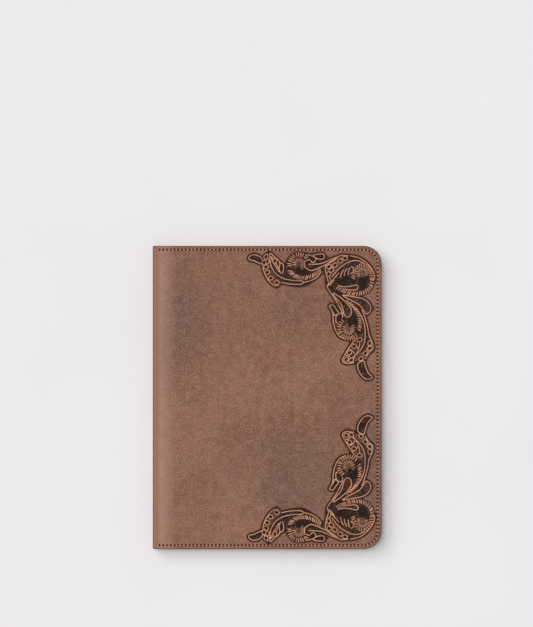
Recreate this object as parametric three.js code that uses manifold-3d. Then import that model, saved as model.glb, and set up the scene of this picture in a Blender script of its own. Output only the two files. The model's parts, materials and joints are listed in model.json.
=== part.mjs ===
// A leather notebook cover, closed, with a composition notebook held in its two sleeves.
// Millimetres. +X runs from the spine to the fore-edge, +Y to the head of the book,
// and +Z up out of the front cover.
// The origin is at the middle of the closed cover's footprint, on the surface that it lies on.
import * as THREE from "three";
import { mergeVertices } from "three/addons/utils/BufferGeometryUtils.js";
import Module from "manifold-3d";

const wasm = await Module();
wasm.setup();

// ---- Driving dimensions ----

// The notebook that the cover is cut to fit.
const notebookWidth = 190.5;
const notebookHeight = 247.65;
const notebookThickness = 11.6;
const notebookCornerRadius = 10;
const boardThickness = 0.8;
const tapeThickness = 0.4;
const boardToSpine = 1.45;
const pagesToTape = 0.3;
const pageTrim = 1;
const pageWedgeLength = 60;

// Leather and lining.
const leatherThickness = 1.8;
const liningThickness = 0.5;
const sleeveThickness = 0.9;
const pocketThickness = 0.6;
const layerGap = 0.2;

// The cover's outline, and the room that it leaves round the notebook.
const cornerRadius = 15.5;
const spinePlay = 1.4;
const foreEdgePlay = 1.2;
const headPlay = 4.6;
const rimClearance = 0.3;

// The radius that the middle of the leather bends to, where the spine meets the two panels.
const foldRadius = 3.5;
const foldGap = 0.3;

// The seam round the edge, in a shallow groove.
const seamInset = 3.3;
const threadWidth = 0.7;
const threadHeight = 0.35;
const grooveClearance = 0.3;

// The sleeves that the notebook's boards slide into.
const sleeveDepth = 78;
const sleeveScoop = 10;
const sleeveSlip = 2;

// Card pockets, sewn on the front sleeve.
const pocketMargin = 1;
const pocketHeight = 66;
const pocketSpacing = 104;
const pocketCornerRadius = 4;
const pocketScoopRadius = 11;
const pocketSeamInset = 2.2;
const pocketThreadWidth = 0.5;
const pocketThreadHeight = 0.25;

// How finely a quarter circle is cut, the least radius of a seam's corner, how far a cutting tool
// reaches past the piece it cuts, and the distance within which two corners of a mesh are one.
const arcSteps = 8;
const leastRadius = 0.5;
const beyond = 1;
const weldDistance = 1e-4;

// ---- Places worked out from them ----

// Heights of the back cover's layers. The front cover's are the same, measured down from the top.
const liningZ = leatherThickness + layerGap;
const boardZ = liningZ + liningThickness + layerGap;
const pagesZ = boardZ + boardThickness + layerGap;
const sleeveZ = pagesZ;
const sleeveTopZ = sleeveZ + sleeveThickness;
const pocketZ = sleeveTopZ + layerGap;
const pocketTopZ = pocketZ + pocketThickness;
const pocketThreadTopZ = pocketTopZ + layerGap + pocketThreadHeight;

// The closed cover.
const closedThickness = notebookThickness + 2 * boardZ;
const spineRoom = liningZ + liningThickness + spinePlay;
const closedWidth = spineRoom + notebookWidth + foreEdgePlay + seamInset;
const coverHeight = notebookHeight + 2 * (headPlay + seamInset);
const spineX = -closedWidth / 2;
const foreX = closedWidth / 2;
const headY = coverHeight / 2;

// A fold turns about this line, as far in from both outer faces, because the bend and the flat leather
// then have the same length.
const foldAxisInset = leatherThickness / 2 + foldRadius * (1 - Math.PI / 4);

// Where the panels and the spine stop short of each other, so that a fold opens flat.
const foldReach = foldAxisInset + foldGap / 2;
const leatherSetback = Math.max(leatherThickness, foldReach) + foldGap;
const liningSetback = Math.max(liningZ + liningThickness, foldReach) + foldGap;

const grooveWidth = threadWidth + 2 * grooveClearance;
const grooveDepth = threadHeight + grooveClearance;

const notebookSpineX = spineX + spineRoom;
const notebookForeX = notebookSpineX + notebookWidth;
const boardSpineX = notebookSpineX + boardToSpine;
const pagesSpineX = notebookSpineX + tapeThickness + pagesToTape;
const sleeveEdgeX = foreX - sleeveDepth;
const pocketMinX = sleeveEdgeX + sleeveScoop + pocketMargin;
const pocketMaxX = notebookForeX - pocketMargin;

// ---- Materials ----

function material(color, roughness) {
  return new THREE.MeshStandardMaterial({ color, roughness, metalness: 0 });
}
const coverLeather = material(0x8c6858, 0.75);
const liningLeather = material(0xa9805c, 0.85);
const sleeveLeather = material(0x8a6350, 0.75);
const seamThread = material(0xb0805a, 0.8);
const notebookBoard = material(0x2b2a2c, 0.6);
const spineTape = material(0x1c1b1d, 0.7);
const paper = material(0xefeadd, 0.9);

// ---- Solids from outlines ----

const cover = new THREE.Group();

function addPiece(name, geometry, look) {
  const mesh = new THREE.Mesh(geometry, look);
  mesh.name = name;
  cover.add(mesh);
  return mesh;
}

// A flat piece: an outline in XY, raised from height z.
function plate(outline, z, thickness) {
  return new THREE.ExtrudeGeometry(outline, {
    depth: thickness,
    bevelEnabled: false,
    curveSegments: arcSteps,
  }).translate(0, 0, z);
}

function box(minX, maxX, minY, maxY, minZ, maxZ) {
  return new THREE.BoxGeometry(maxX - minX, maxY - minY, maxZ - minZ).translate(
    (minX + maxX) / 2,
    (minY + maxY) / 2,
    (minZ + maxZ) / 2,
  );
}

function toSolid(geometry) {
  const bare = geometry.index ? geometry.toNonIndexed() : geometry.clone();
  bare.deleteAttribute("normal");
  bare.deleteAttribute("uv");
  const merged = mergeVertices(bare, weldDistance);
  return new wasm.Manifold(
    new wasm.Mesh({
      numProp: 3,
      vertProperties: merged.attributes.position.array,
      triVerts: new Uint32Array(merged.index.array),
    }),
  );
}

function toGeometry(solid) {
  const mesh = solid.getMesh();
  const geometry = new THREE.BufferGeometry();
  geometry.setAttribute("position", new THREE.BufferAttribute(mesh.vertProperties, 3));
  geometry.setIndex(new THREE.BufferAttribute(mesh.triVerts, 1));
  geometry.computeVertexNormals();
  return geometry;
}

function cut(geometry, ...tools) {
  const solid = tools.reduce((left, tool) => left.subtract(toSolid(tool)), toSolid(geometry));
  return toGeometry(solid);
}

function join(...geometries) {
  return toGeometry(geometries.map(toSolid).reduce((all, next) => all.add(next)));
}

// ---- Outlines ----

// The line that runs round a panel's three free edges, inset from them: tail, fore-edge, head.
function edgeLine(startX, inset) {
  const radius = Math.max(cornerRadius - inset, leastRadius);
  const centreX = foreX - inset - radius;
  const centreY = headY - inset - radius;
  const points = [new THREE.Vector2(startX, -headY + inset)];
  for (const [side, fromAngle] of [[-1, -Math.PI / 2], [1, 0]]) {
    for (let step = 0; step <= arcSteps; step++) {
      const angle = fromAngle + (Math.PI / 2) * (step / arcSteps);
      points.push(
        new THREE.Vector2(
          centreX + radius * Math.cos(angle),
          side * centreY + radius * Math.sin(angle),
        ),
      );
    }
  }
  points.push(new THREE.Vector2(startX, headY - inset));
  return points;
}

// A panel, square at its fold and rounded at its two outer corners.
function panelOutline(foldX) {
  return new THREE.Shape(edgeLine(foldX, 0));
}

// A band of the given width that follows the seam.
function seamBand(startX, width) {
  const outer = edgeLine(startX, seamInset - width / 2);
  const inner = edgeLine(startX, seamInset + width / 2).reverse();
  return new THREE.Shape([...outer, ...inner]);
}

// A sleeve: the panel's outer part, with a free edge that is scooped towards the fore-edge.
function sleeveOutline() {
  const outline = new THREE.Shape(edgeLine(sleeveEdgeX, 0));
  outline.quadraticCurveTo(sleeveEdgeX + 2 * sleeveScoop, 0, sleeveEdgeX, -headY);
  return outline;
}

function roundedRectangle(minX, maxX, minY, maxY, radius) {
  const outline = new THREE.Shape();
  outline.absarc(maxX - radius, minY + radius, radius, -Math.PI / 2, 0);
  outline.absarc(maxX - radius, maxY - radius, radius, 0, Math.PI / 2);
  outline.absarc(minX + radius, maxY - radius, radius, Math.PI / 2, Math.PI);
  outline.absarc(minX + radius, minY + radius, radius, Math.PI, 1.5 * Math.PI);
  return outline;
}

// A notebook leaf: square at the spine and rounded at the fore-edge.
function leafOutline(minX, trim) {
  const maxX = notebookForeX - trim;
  const maxY = notebookHeight / 2 - trim;
  const radius = notebookCornerRadius - trim;
  const outline = new THREE.Shape();
  outline.moveTo(minX, -maxY);
  outline.lineTo(maxX - radius, -maxY);
  outline.absarc(maxX - radius, -maxY + radius, radius, -Math.PI / 2, 0);
  outline.absarc(maxX - radius, maxY - radius, radius, 0, Math.PI / 2);
  outline.lineTo(minX, maxY);
  return outline;
}

// A card pocket's seam: down one side, along the foot and up the other side.
function pocketSeamOutline(centreX, footY, width) {
  const line = (inset) => {
    const halfX = (pocketMaxX - pocketMinX) / 2 - inset;
    const topY = footY + pocketHeight - pocketSeamInset;
    const lowY = footY + inset;
    const radius = Math.max(pocketCornerRadius - inset, leastRadius);
    const points = [new THREE.Vector2(centreX - halfX, topY)];
    for (const [side, fromAngle] of [[-1, Math.PI], [1, 1.5 * Math.PI]]) {
      for (let step = 0; step <= arcSteps / 2; step++) {
        const angle = fromAngle + Math.PI * (step / arcSteps);
        points.push(
          new THREE.Vector2(
            centreX + side * (halfX - radius) + radius * Math.cos(angle),
            lowY + radius + radius * Math.sin(angle),
          ),
        );
      }
    }
    points.push(new THREE.Vector2(centreX + halfX, topY));
    return points;
  };
  const outer = line(pocketSeamInset - width / 2);
  const inner = line(pocketSeamInset + width / 2).reverse();
  return new THREE.Shape([...outer, ...inner]);
}

// ---- One cover, back or front ----

// Turns a height in the back cover into the same layer's height in the cover being made.
const layerHeight = {
  back: (z) => z,
  front: (z, thickness) => closedThickness - z - thickness,
};

function coverLayers(side) {
  const at = layerHeight[side];
  const layer = (outline, z, thickness) => plate(outline, at(z, thickness), thickness);

  const leatherX = spineX + leatherSetback;
  const liningX = spineX + liningSetback;
  addPiece(
    `${side}_leather`,
    cut(
      layer(panelOutline(leatherX), 0, leatherThickness),
      layer(seamBand(leatherX - beyond, grooveWidth), -beyond, beyond + grooveDepth),
    ),
    coverLeather,
  );
  addPiece(
    `${side}_lining`,
    layer(panelOutline(liningX), liningZ, liningThickness),
    liningLeather,
  );

  // The sleeve stands off the lining by the notebook's cover, and comes down to it round the seam.
  const hollowZ = boardZ - beyond;
  const hollowHeight = sleeveZ - hollowZ;
  const hollow = leafOutline(sleeveEdgeX - beyond, -rimClearance);
  addPiece(
    `${side}_sleeve`,
    cut(
      layer(sleeveOutline(), boardZ, sleeveTopZ - boardZ),
      layer(hollow, hollowZ, hollowHeight),
    ),
    sleeveLeather,
  );

  // The needle thread shows outside. The bobbin thread shows inside, on the sleeve and then on the lining.
  addPiece(
    `${side}_outer_thread`,
    layer(seamBand(leatherX, threadWidth), grooveDepth - grooveClearance - threadHeight, threadHeight),
    seamThread,
  );
  const onSleeveZ = sleeveTopZ + layerGap;
  const stepX = sleeveEdgeX - layerGap;
  const run = (minX, maxX, y, lowZ, highZ) => {
    const z = at(lowZ, highZ - lowZ);
    return box(minX, maxX, y - threadWidth / 2, y + threadWidth / 2, z, z + highZ - lowZ);
  };
  const pieces = [
    layer(seamBand(stepX - threadWidth, threadWidth), onSleeveZ, threadHeight),
  ];
  for (const y of [-(headY - seamInset), headY - seamInset]) {
    pieces.push(run(liningX, stepX, y, boardZ, boardZ + threadHeight));
    pieces.push(run(stepX - threadWidth, stepX, y, boardZ, onSleeveZ + threadHeight));
  }
  addPiece(`${side}_inner_thread`, join(...pieces), seamThread);
}

// ---- The spine ----

function spineLayers() {
  const lowZ = leatherSetback;
  const highZ = closedThickness - leatherSetback;
  const seamY = headY - seamInset;
  const ends = [["head", seamY], ["tail", -seamY]];

  const grooves = ends.map(([, y]) =>
    box(
      spineX - beyond, spineX + grooveDepth,
      y - grooveWidth / 2, y + grooveWidth / 2,
      lowZ - beyond, highZ + beyond,
    ),
  );
  const wall = box(spineX, spineX + leatherThickness, -headY, headY, lowZ, highZ);
  addPiece("spine_leather", cut(wall, ...grooves), coverLeather);

  const liningLowZ = liningSetback;
  const liningHighZ = closedThickness - liningSetback;
  const liningX = spineX + liningZ;
  addPiece(
    "spine_lining",
    box(liningX, liningX + liningThickness, -headY, headY, liningLowZ, liningHighZ),
    liningLeather,
  );

  const outerX = spineX + grooveDepth - grooveClearance - threadHeight;
  const innerX = liningX + liningThickness + layerGap;
  for (const [end, y] of ends) {
    const minY = y - threadWidth / 2;
    const maxY = y + threadWidth / 2;
    addPiece(
      `spine_outer_thread_${end}`,
      box(outerX, outerX + threadHeight, minY, maxY, lowZ, highZ),
      seamThread,
    );
    addPiece(
      `spine_inner_thread_${end}`,
      box(innerX, innerX + threadHeight, minY, maxY, sleeveZ, closedThickness - sleeveZ),
      seamThread,
    );
  }
}

// ---- Card pockets on the front sleeve ----

function cardPockets() {
  const at = layerHeight.front;
  const centreX = (pocketMinX + pocketMaxX) / 2;
  const threadZ = pocketTopZ + layerGap;
  for (const [name, middleY] of [["upper", pocketSpacing / 2], ["lower", -pocketSpacing / 2]]) {
    const footY = middleY - pocketHeight / 2;
    const mouthY = middleY + pocketHeight / 2;
    const patch = roundedRectangle(pocketMinX, pocketMaxX, footY, mouthY, pocketCornerRadius);
    const scoop = new THREE.Shape();
    scoop.absarc(centreX, mouthY, pocketScoopRadius, 0, 2 * Math.PI);
    const roof = at(pocketZ, pocketThickness);
    addPiece(
      `card_pocket_${name}`,
      cut(
        plate(patch, roof, pocketThickness),
        plate(scoop, roof - beyond, pocketThickness + 2 * beyond),
      ),
      sleeveLeather,
    );
    addPiece(
      `card_pocket_${name}_thread`,
      plate(
        pocketSeamOutline(centreX, footY, pocketThreadWidth),
        at(threadZ, pocketThreadHeight),
        pocketThreadHeight,
      ),
      seamThread,
    );
  }
}

// ---- The notebook ----

// The leaves are thickest at their sewn spine, and the sleeves press them closer at the fore-edge.
function pageBlock() {
  const lowZ = sleeveTopZ + layerGap;
  const highZ = closedThickness - pocketThreadTopZ - layerGap;
  const wedgeEndX = sleeveEdgeX - sleeveSlip;
  const wedgeStartX = wedgeEndX - pageWedgeLength;
  const profile = new THREE.Shape([
    new THREE.Vector2(pagesSpineX, pagesZ),
    new THREE.Vector2(wedgeStartX, pagesZ),
    new THREE.Vector2(wedgeEndX, lowZ),
    new THREE.Vector2(notebookForeX, lowZ),
    new THREE.Vector2(notebookForeX, highZ),
    new THREE.Vector2(wedgeEndX, highZ),
    new THREE.Vector2(wedgeStartX, closedThickness - pagesZ),
    new THREE.Vector2(pagesSpineX, closedThickness - pagesZ),
  ]);
  const stack = new THREE.ExtrudeGeometry(profile, { depth: notebookHeight, bevelEnabled: false })
    .rotateX(Math.PI / 2)
    .translate(0, notebookHeight / 2, 0);
  const leaf = plate(leafOutline(pagesSpineX, pageTrim), 0, closedThickness);
  addPiece("page_block", toGeometry(toSolid(stack).intersect(toSolid(leaf))), paper);
}

function notebook() {
  for (const side of ["back", "front"]) {
    const z = layerHeight[side](boardZ, boardThickness);
    addPiece(
      `notebook_${side}_board`,
      plate(leafOutline(boardSpineX, 0), z, boardThickness),
      notebookBoard,
    );
  }
  pageBlock();

  // The cloth tape closes the notebook's spine, and folds at the two lines where it meets the boards.
  const tapeFoldZ = boardZ + tapeThickness;
  addPiece(
    "notebook_spine_tape",
    box(
      notebookSpineX, notebookSpineX + tapeThickness,
      -notebookHeight / 2, notebookHeight / 2,
      tapeFoldZ, closedThickness - tapeFoldZ,
    ),
    spineTape,
  );
}

for (const side of ["back", "front"]) coverLayers(side);
spineLayers();
cardPockets();
notebook();

export default cover;
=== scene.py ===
# %% [markdown]
# # A leather notebook cover
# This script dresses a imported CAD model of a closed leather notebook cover. The CAD model holds the sizes,
# the joints and the collision; the pieces made here hold the looks.

import json
import math

import bmesh
import bpy
import numpy as np
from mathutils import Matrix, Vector

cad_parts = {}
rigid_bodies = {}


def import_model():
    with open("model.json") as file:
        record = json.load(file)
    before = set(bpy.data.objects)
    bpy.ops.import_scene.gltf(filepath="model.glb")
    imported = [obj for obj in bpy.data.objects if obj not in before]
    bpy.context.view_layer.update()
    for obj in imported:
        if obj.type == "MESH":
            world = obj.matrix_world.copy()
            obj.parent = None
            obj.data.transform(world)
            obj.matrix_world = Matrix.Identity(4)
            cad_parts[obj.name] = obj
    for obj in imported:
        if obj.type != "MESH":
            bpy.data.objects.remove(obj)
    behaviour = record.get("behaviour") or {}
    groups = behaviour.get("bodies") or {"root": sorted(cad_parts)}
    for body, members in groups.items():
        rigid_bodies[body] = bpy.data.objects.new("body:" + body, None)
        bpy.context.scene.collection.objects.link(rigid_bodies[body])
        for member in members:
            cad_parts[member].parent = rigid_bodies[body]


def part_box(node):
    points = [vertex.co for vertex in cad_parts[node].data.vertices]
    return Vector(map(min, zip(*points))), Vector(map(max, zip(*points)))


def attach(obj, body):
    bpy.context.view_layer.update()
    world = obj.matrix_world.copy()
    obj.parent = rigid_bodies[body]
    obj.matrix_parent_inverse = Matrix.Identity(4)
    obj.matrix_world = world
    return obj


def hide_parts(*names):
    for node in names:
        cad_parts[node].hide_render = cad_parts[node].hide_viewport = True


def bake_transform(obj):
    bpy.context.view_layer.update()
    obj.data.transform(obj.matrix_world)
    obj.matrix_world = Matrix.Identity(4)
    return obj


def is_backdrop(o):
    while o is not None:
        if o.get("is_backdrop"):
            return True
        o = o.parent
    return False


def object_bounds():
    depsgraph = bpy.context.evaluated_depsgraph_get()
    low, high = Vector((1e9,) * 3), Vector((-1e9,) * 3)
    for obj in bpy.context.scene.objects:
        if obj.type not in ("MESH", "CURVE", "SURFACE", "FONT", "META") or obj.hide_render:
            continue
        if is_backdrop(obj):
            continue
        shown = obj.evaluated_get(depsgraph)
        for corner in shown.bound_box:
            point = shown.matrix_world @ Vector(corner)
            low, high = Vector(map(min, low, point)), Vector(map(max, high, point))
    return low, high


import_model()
cad_low, cad_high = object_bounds()
mm = 0.001
print("CAD box, mm:", [round(c / mm, 2) for c in (*cad_low, *cad_high)])

# %% [markdown]
# ## Sizes
# The outline comes from the CAD box, and the heights of the layers from the CAD nodes. The leather turns
# from a cover into the spine in a round fold.

# %% Sizes from the frame
spine_x, fore_x, head_y, top_z = cad_low.x, cad_high.x, cad_high.y, cad_high.z
middle_z = top_z / 2
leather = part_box("back_leather")[1].z
outer_radius = 3.6 * mm
fold_x, fold_z = spine_x + outer_radius, top_z - outer_radius
corner_radius = 15.5 * mm
lining_low, lining_high = leather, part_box("back_lining")[1].z
board_low, board_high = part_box("notebook_back_board")[0].z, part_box("notebook_back_board")[1].z
sleeve_low, sleeve_high = board_high + 0.2 * mm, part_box("back_sleeve")[1].z
seam_inset = 3.3 * mm
stitch_pitch = 3.25 * mm
print("leather, mm:", round(leather / mm, 2), " closed thickness, mm:", round(top_z / mm, 2))

# %% [markdown]
# ## Small helpers
# An operator acts on everything that is selected, so each helper deselects first and then selects faces,
# edges or points by where they are. A piece that is finished has its place in its mesh.

# %% Selecting and shaping helpers
def leave_edit():
    bpy.ops.object.mode_set(mode="OBJECT")


def only(obj):
    """Make one object selected and active, in object mode."""
    if bpy.context.object and bpy.context.object.mode != "OBJECT":
        leave_edit()
    bpy.ops.object.select_all(action="DESELECT")
    obj.select_set(True)
    bpy.context.view_layer.objects.active = obj


def edit(obj, everything=False):
    only(obj)
    bpy.ops.object.mode_set(mode="EDIT")
    bpy.ops.mesh.select_all(action="SELECT" if everything else "DESELECT")


def choose(obj, kind, test):
    """In edit mode, select the points, edges or faces that pass the test, and say how many there are."""
    bpy.ops.mesh.select_mode(type=kind)
    bpy.ops.mesh.select_all(action="DESELECT")
    shape = bmesh.from_edit_mesh(obj.data)
    parts = {"VERT": shape.verts, "EDGE": shape.edges, "FACE": shape.faces}[kind]
    count = 0
    for part in parts:
        if test(part):
            part.select_set(True)
            count += 1
    shape.select_flush_mode()
    bmesh.update_edit_mesh(obj.data)
    return count


def choose_faces(obj, test):
    """Select faces by a test on arrays of their centres and normals; much faster for big meshes."""
    leave_edit()
    count = len(obj.data.polygons)
    centre, normal = np.zeros(count * 3), np.zeros(count * 3)
    obj.data.polygons.foreach_get("center", centre)
    obj.data.polygons.foreach_get("normal", normal)
    wanted = test(centre.reshape(-1, 3), normal.reshape(-1, 3))
    edit(obj)
    bpy.ops.mesh.select_mode(type="FACE")
    leave_edit()
    obj.data.polygons.foreach_set("select", wanted)
    bpy.ops.object.mode_set(mode="EDIT")
    return int(wanted.sum())


def apply_modifier(obj, kind, **settings):
    only(obj)
    modifier = obj.modifiers.new(kind.title(), kind)
    for key, value in settings.items():
        setattr(modifier, key, value)
    bpy.ops.object.modifier_apply(modifier=modifier.name)


def settle(obj, name, angle=35):
    """Name the piece, put its place into its mesh and shade it."""
    only(obj)
    bpy.ops.object.transform_apply(location=True, rotation=True, scale=True)
    bpy.ops.object.shade_smooth_by_angle(angle=math.radians(angle))
    obj.name = name
    obj.data.name = name
    print(name, "has", len(obj.data.polygons), "faces")
    return obj


def points_of(obj):
    """The x, y and z of every point, as three arrays."""
    co = np.zeros(len(obj.data.vertices) * 3)
    obj.data.vertices.foreach_get("co", co)
    return co.reshape(-1, 3).T


def move_points(obj, x, y, z):
    obj.data.vertices.foreach_set("co", np.stack([x, y, z], 1).astype(float).ravel())
    obj.data.update()


def paint(obj, name, values):
    """Store one number per point, for a material to read."""
    layer = obj.data.attributes.get(name) or obj.data.attributes.new(name, "FLOAT", "POINT")
    layer.data.foreach_set("value", np.asarray(values, np.float32))


def smooth_step(t):
    t = np.clip(t, 0, 1)
    return t * t * (3 - 2 * t)


def new_block(low, high, shape="cube"):
    """A cube or a plane, sized to fill the space between two corners."""
    bpy.ops.object.select_all(action="DESELECT")
    add_shape = {"cube": bpy.ops.mesh.primitive_cube_add, "plane": bpy.ops.mesh.primitive_plane_add}[shape]
    add_shape(size=1, location=[(a + b) / 2 for a, b in zip(low, high)])
    block = bpy.context.object
    block.scale = [b - a if b > a else 1 for a, b in zip(low, high)]
    only(block)
    bpy.ops.object.transform_apply(location=True, rotation=True, scale=True)
    return block


def round_corners(obj, radius, segments, test):
    """Bevel the chosen corner points of a flat sheet."""
    edit(obj)
    choose(obj, "VERT", test)
    bpy.ops.mesh.bevel(offset=radius, segments=segments, affect="VERTICES", profile=0.5)
    leave_edit()


def round_rim(obj, width, segments=2, test=lambda e: True):
    """Bevel the sharp edges, steeper than 60 degrees, that pass the test."""
    edit(obj)
    choose(obj, "EDGE", lambda e: len(e.link_faces) == 2
           and e.calc_face_angle(0) > math.radians(60) and test(e))
    bpy.ops.mesh.bevel(offset=width, segments=segments, affect="EDGES")
    leave_edit()


def thicken(obj, thickness):
    apply_modifier(obj, "SOLIDIFY", thickness=thickness, offset=-1, use_even_offset=True)


# %% [markdown]
# ## The cut panel
# Leather for a cover is cut flat from the hide. One half of it is a rectangle, square at the spine and
# rounded at the fore-edge. A plane is sized, and a bevel on its two outer corner points rounds them.
# Then the spine-side edge is spun round the fold and extruded down to the middle of the spine.

# %% Plane, corners, fold and half spine
def cut_panel(start_x, inset, depth, half_height):
    """A flat panel, depth below the top, that stops inset inside the fore-edge."""
    end_x = fore_x - inset
    panel = new_block((start_x, -half_height, top_z - depth), (end_x, half_height, top_z - depth), "plane")
    round_corners(panel, corner_radius, 14, lambda v: v.co.x > end_x - 0.1 * mm)
    return panel


def fold_down(panel, to_z):
    """Spin the spine edge a quarter turn, then run it down the spine."""
    edit(panel)
    choose(panel, "EDGE", lambda e: all(v.co.x < fold_x + 0.01 * mm for v in e.verts))
    bpy.ops.mesh.spin(steps=8, angle=math.pi / 2, center=(fold_x, 0, fold_z), axis=(0, 1, 0))
    bpy.ops.mesh.extrude_region_move(TRANSFORM_OT_translate={"value": (0, 0, to_z - fold_z)})
    bpy.ops.mesh.select_all(action="SELECT")
    bpy.ops.mesh.remove_doubles(threshold=0.001 * mm)
    bpy.ops.mesh.normals_make_consistent(inside=False)
    leave_edit()
    if sum(p.normal.z * p.area for p in panel.data.polygons) < 0:
        edit(panel, everything=True)
        bpy.ops.mesh.flip_normals()
        leave_edit()


def rule_lines(obj, along_x=(), along_y=(), along_z=()):
    """Cut straight lines through the whole piece, so that later steps have points to work on."""
    edit(obj)
    for normal, places in (((1, 0, 0), along_x), ((0, 1, 0), along_y), ((0, 0, 1), along_z)):
        for place in places:
            bpy.ops.mesh.select_all(action="SELECT")
            bpy.ops.mesh.bisect(plane_co=[place * n for n in normal], plane_no=normal)
    leave_edit()


# %% [markdown]
# ## The seam's route
# The seam runs along the tail, the fore-edge and the head, 3.3 mm inside the edge, and goes on over the
# fold to the middle of the spine. Its route is drawn on the leather as if it lay flat, and each place on
# it is then bent round the fold. A stitch lies between each pair of holes.

# %% Seam places and how the fold bends them
def seam_places(inset, from_x, offset=0.5):
    """Evenly spaced places on the seam, each with its direction, on the flat leather."""
    radius = corner_radius - inset
    cx, cy = fore_x - inset - radius, head_y - inset - radius
    legs = (
        (cx - from_x, lambda s: (from_x + s, -head_y + inset, 0.0)),
        (radius * math.pi / 2, lambda s: (cx + radius * math.sin(s / radius),
                                          -cy - radius * math.cos(s / radius), s / radius)),
        (2 * cy, lambda s: (fore_x - inset, -cy + s, math.pi / 2)),
        (radius * math.pi / 2, lambda s: (cx + radius * math.cos(s / radius),
                                          cy + radius * math.sin(s / radius), math.pi / 2 + s / radius)),
        (cx - from_x, lambda s: (cx - s, head_y - inset, math.pi)),
    )
    total = sum(length for length, _ in legs)
    count = round(total / stitch_pitch)
    places = []
    for s in (np.arange(count) + offset) * total / count:
        for length, place_at in legs:
            if s < length:
                places.append(place_at(s))
                break
            s -= length
    return np.array(places)


def bend_over_fold(x, y, height, depth=0.0):
    """Bend flat points, each at a height above the leather, round the fold and down the spine."""
    radius = outer_radius - depth
    run = fold_x - x
    turn = np.clip(run / radius, 0, math.pi / 2)
    past = np.maximum(run - radius * math.pi / 2, 0)
    reach = radius + height
    new_x = np.where(run > 0, fold_x - reach * np.sin(turn), x)
    return new_x, y, np.where(run > 0, fold_z + reach * np.cos(turn) - past, fold_z + reach)


def pare_fold(obj, share=0.38, fade=3.5 * mm):
    """Thin the layers where they fold, so that the fold stays low when the cover is opened."""
    x, y, z = points_of(obj)
    flat, wall = x > fold_x, (z < fold_z) & (x <= fold_x)
    reach = np.maximum(np.hypot(x - fold_x, z - fold_z), 1e-9)
    depth = np.where(flat, top_z - z, np.where(wall, x - spine_x, outer_radius - reach))
    away = np.where(flat, x - fold_x, np.where(wall, fold_z - z, 0))
    shift = depth * share * (1 - smooth_step(away / fade))
    out_x = np.where(flat, 0, np.where(wall, -1, (x - fold_x) / reach))
    out_z = np.where(flat, 1, np.where(wall, 0, (z - fold_z) / reach))
    move_points(obj, x + out_x * shift, y, z + out_z * shift)


unrolled_start = fold_x - outer_radius * math.pi / 2 - (fold_z - middle_z)
seam = seam_places(seam_inset, unrolled_start)
seam_holes = seam_places(seam_inset, unrolled_start, offset=0)
print("stitches on each cover:", len(seam))


# %% [markdown]
# ## The tooling plan
# Each outer corner is tooled with a scroll of acanthus leaves. A craftsman traces the pattern on damp
# leather, cuts the outlines with a swivel blade, beats down the background with a matting stamp, and
# bevels and ribs the leaves. Antique paste then stays in everything that lies low, and the raised lines
# are rubbed bright. The bevel round the tooled shapes is darkened partly by the paste and partly by
# painted shade. The plan below does the same on a grid of small cells: u runs from the fore-edge
# towards the spine and v from the head towards the tail, both in millimetres.
# A node material could draw such lines, but it can't give them depth, so they are worked out here and
# the leather's own points are moved.

# %% An empty plan, and ways to draw on it
CELL = 0.1
PLAN_SIZE = 124
side = int(PLAN_SIZE / CELL)
relief = np.zeros((side, side), np.float32)
paste_and_shade = np.zeros((side, side), np.float32)
rubbed = np.zeros((side, side), np.float32)


def curve_through(points, closed=False, steps=8):
    """A smooth line through a few points (Catmull-Rom)."""
    p = np.array(points, float)
    if closed:
        p = np.vstack([p[-1], p, p[0], p[1]])
    else:
        p = np.vstack([2 * p[0] - p[1], p, 2 * p[-1] - p[-2]])
    t = np.linspace(0, 1, steps, endpoint=False)[:, None]
    out = []
    for a, b, c, d in zip(p[:-3], p[1:-2], p[2:-1], p[3:]):
        out.append(
            0.5 * (2 * b + (c - a) * t + (2 * a - 5 * b + 4 * c - d) * t**2
                   + (3 * b - a - 3 * c + d) * t**3)
        )
    out.append(p[-2][None])
    return np.vstack(out)


def near_line(line, reach):
    """How close each cell is to a line: 1 on it, falling to 0 at the reach."""
    near = np.zeros((side, side), np.float32)
    for (u0, v0), (u1, v1) in zip(line[:-1], line[1:]):
        lo_u, hi_u = int((min(u0, u1) - reach) / CELL), int((max(u0, u1) + reach) / CELL) + 2
        lo_v, hi_v = int((min(v0, v1) - reach) / CELL), int((max(v0, v1) + reach) / CELL) + 2
        lo_u, lo_v = max(lo_u, 0), max(lo_v, 0)
        u = (np.arange(lo_u, min(hi_u, side)) * CELL)[None, :]
        v = (np.arange(lo_v, min(hi_v, side)) * CELL)[:, None]
        du, dv = u1 - u0, v1 - v0
        t = np.clip(((u - u0) * du + (v - v0) * dv) / max(du * du + dv * dv, 1e-9), 0, 1)
        gap = np.hypot(u - u0 - t * du, v - v0 - t * dv) / reach
        patch = near[lo_v : lo_v + v.shape[0], lo_u : lo_u + u.shape[1]]
        np.maximum(patch, 1 - gap, out=patch)
    return near


def inside(outline):
    """Which cells lie inside a closed outline."""
    cells = np.zeros((side, side), bool)
    us = np.arange(side) * CELL
    for row in range(side):
        v = row * CELL
        a, b = outline, np.roll(outline, -1, 0)
        crossing = (a[:, 1] > v) != (b[:, 1] > v)
        if crossing.any():
            a, b = a[crossing], b[crossing]
            at = np.sort(a[:, 0] + (v - a[:, 1]) * (b[:, 0] - a[:, 0]) / (b[:, 1] - a[:, 1]))
            cells[row] = np.searchsorted(at, us) % 2 == 1
    return cells


def flat_area(points, deep, dark):
    """Beat down the leather inside an outline, and let paste settle in it."""
    cells = inside(curve_through(points, closed=True))
    relief[cells] = -deep
    paste_and_shade[cells] = dark
    return cells


def cut_line(points, width=0.55, closed=False, deep=0.5):
    near = np.clip(near_line(curve_through(points, closed), width) * 1.6, 0, 1)
    np.minimum(relief, -deep * near, out=relief, where=near > 0.3)
    np.maximum(paste_and_shade, near, out=paste_and_shade)


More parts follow.
